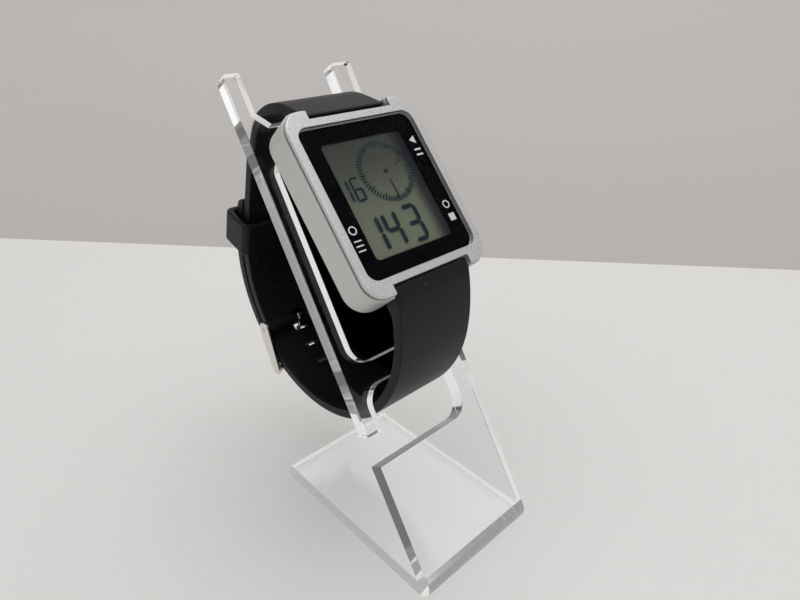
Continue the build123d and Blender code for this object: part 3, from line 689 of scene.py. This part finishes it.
def ring_slab(radius, width, low, high):
    """A slice of a cylinder round the strap loop, cut off by a box whose corners are (y, z) pairs."""
    bpy.ops.mesh.primitive_cylinder_add(vertices=192, radius=radius, depth=width,
                                        location=(strap_x, loop_y, loop_z), rotation=(0, pi / 2, 0))
    slab = bpy.context.object
    bpy.ops.object.transform_apply(location=True, rotation=True, scale=True)
    middle = [(a + b) / 2 for a, b in zip(low, high)]
    bpy.ops.mesh.primitive_cube_add(size=1, location=(strap_x, *middle))
    keep = bpy.context.object
    keep.scale = (width * 2, high[0] - low[0], high[1] - low[1])
    bpy.ops.object.transform_apply(location=True, rotation=True, scale=True)
    only(slab)
    meet = slab.modifiers.new("meet", "BOOLEAN")
    meet.operation = "INTERSECT"
    meet.solver = "EXACT"
    meet.object = keep
    bpy.ops.object.modifier_apply(modifier=meet.name)
    bpy.data.objects.remove(keep)
    return slab


def silicone():
    """Matt black rubber: a soft grain, a faint bloom, and scattered specks of dust."""
    made = surface("black_silicone", (0.0085, 0.0085, 0.0105), (0.006, 0.006, 0.008), (0.38, 0.52),
                   5200.0, 3e-6, blotch=220.0, Specular_IOR_Level=0.22)
    nodes, links = made.node_tree.nodes, made.node_tree.links
    place = nodes.new("ShaderNodeTexCoord")
    dust = nodes.new("ShaderNodeTexVoronoi")
    dust.inputs["Scale"].default_value = 420.0
    links.new(place.outputs["Object"], dust.inputs["Vector"])
    speck = nodes.new("ShaderNodeMapRange")
    speck.inputs["From Min"].default_value = 0.045
    speck.inputs["From Max"].default_value = 0.03
    links.new(dust.outputs["Distance"], speck.inputs["Value"])
    some = nodes.new("ShaderNodeMath")
    some.operation = "GREATER_THAN"
    some.inputs[1].default_value = 0.72
    links.new(dust.outputs["Color"], some.inputs[0])
    both_specks = nodes.new("ShaderNodeMath")
    both_specks.operation = "MULTIPLY"
    links.new(speck.outputs["Result"], both_specks.inputs[0])
    links.new(some.outputs[0], both_specks.inputs[1])
    dusty = nodes.new("ShaderNodeMix")
    dusty.data_type = "RGBA"
    dusty.inputs["B"].default_value = (0.16, 0.16, 0.155, 1)
    links.new(both_specks.outputs[0], dusty.inputs["Factor"])
    links.new(nodes["Color Ramp"].outputs["Color"], dusty.inputs["A"])
    links.new(dusty.outputs["Result"], nodes["Principled BSDF"].inputs["Base Color"])
    return made


rubber = silicone()
short_in, long_in = 27.7 * mm, 30.9 * mm
short_half = merged_copy("strap_12", "short_half")
take_away(short_half,
          ring_slab(short_in + panel_deep, panel_w, (38 * mm, 57 * mm), (55 * mm, 68 * mm)),
          ring_slab(short_in + panel_deep, panel_step_w, (36 * mm, 50 * mm), (55 * mm, 57.001 * mm)))
shoulder_deep, shoulder_l = 2.9 * mm, 1.3 * mm
bpy.ops.mesh.primitive_cube_add(size=1, location=(0, horn_wall + shoulder_l / 2, -shoulder_deep / 2))
shoulder = bpy.context.object
shoulder.scale = (slot_w, shoulder_l, shoulder_deep)
bpy.ops.object.transform_apply(location=True, rotation=True, scale=True)
set_on_head(shoulder)
take_away(short_half, shoulder)
long_half = merged_copy("strap_6", "long_half")
take_away(long_half,
          ring_slab(long_in + panel_deep, panel_w, (-20 * mm, 42 * mm), (6 * mm, 56 * mm)))
for half, node, body in ((short_half, "strap_12", "short_strap"), (long_half, "strap_6", "long_strap")):
    break_edges(half, 0.3 * mm, steps=3)
    half.data.materials.append(rubber)
    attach(half, body)
    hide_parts(node)

# ---- Keeper ----
# A loop of the same rubber, thicker than the strap, that holds the tail down.
loop = merged_copy("keeper", "rubber_loop")
break_edges(loop, 0.75 * mm, steps=5)
loop.data.materials.append(rubber)
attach(loop, "strap_keeper")
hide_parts("keeper")

# ---- Buckle ----
# A polished frame, cast with its cross bar, and a bent tongue that turns on the same bar.
polished = surface("polished_nickel", (0.80, 0.78, 0.74), (0.72, 0.70, 0.66), (0.12, 0.24), 2600.0, 8e-7,
                   metal=1.0, blotch=500.0)
for node, name, body, width in (("buckle_frame", "polished_frame", "buckle", 0.35 * mm),
                                ("buckle_tongue", "bent_tongue", "tongue", 0.2 * mm)):
    metal_piece = merged_copy(node, name)
    break_edges(metal_piece, width, steps=3)
    metal_piece.data.materials.append(polished)
    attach(metal_piece, body)
    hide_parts(node)
